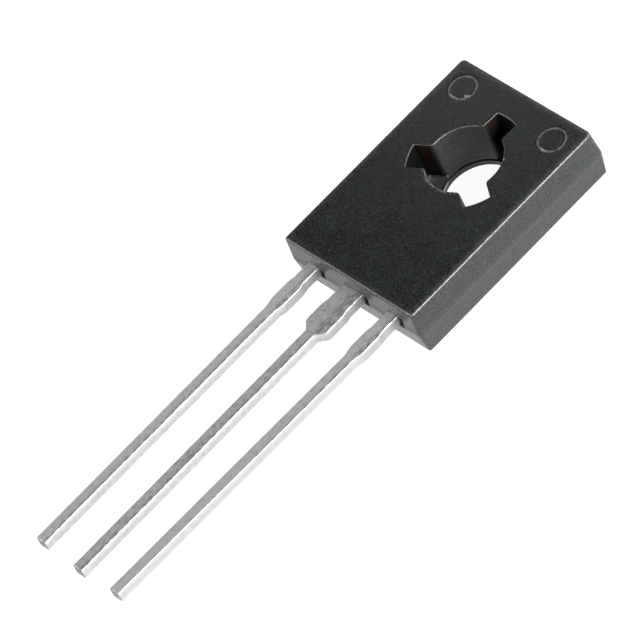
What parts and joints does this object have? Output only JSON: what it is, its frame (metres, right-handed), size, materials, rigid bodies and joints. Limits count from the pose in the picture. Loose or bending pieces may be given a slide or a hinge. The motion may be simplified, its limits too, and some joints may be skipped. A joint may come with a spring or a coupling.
{
  "type": "power transistor",
  "caption": "Flat moulded power transistor with a keyed screw hole through its body, a bare metal mounting face at the back and straight tinned leads.",
  "frame": {"origin": "axis of the screw hole where it meets the mounting plane at the back", "axes": "+Z along the screw hole out of the front face, +Y along the body away from the leads, +X across the leads to the right as the front face is seen"},
  "size_m": [0.0076, 0.0263, 0.0024],
  "materials": {
    "moulding_compound": "fine matt moulded epoxy, charcoal black",
    "tinned_copper": "dull solder-dipped copper with drawn streaks",
    "silicon": "polished silicon with a metallised face",
    "solder": "frozen soft solder",
    "bond_wire": "drawn aluminium wire"
  },
  "bodies": {
    "root": {"moulded_body": "moulding_compound", "collector_frame": "tinned_copper", "emitter_lead": "tinned_copper", "base_lead": "tinned_copper", "transistor_die": "silicon", "die_solder": "solder", "emitter_wire": "bond_wire", "base_wire": "bond_wire"}
  },
  "joints": []
}
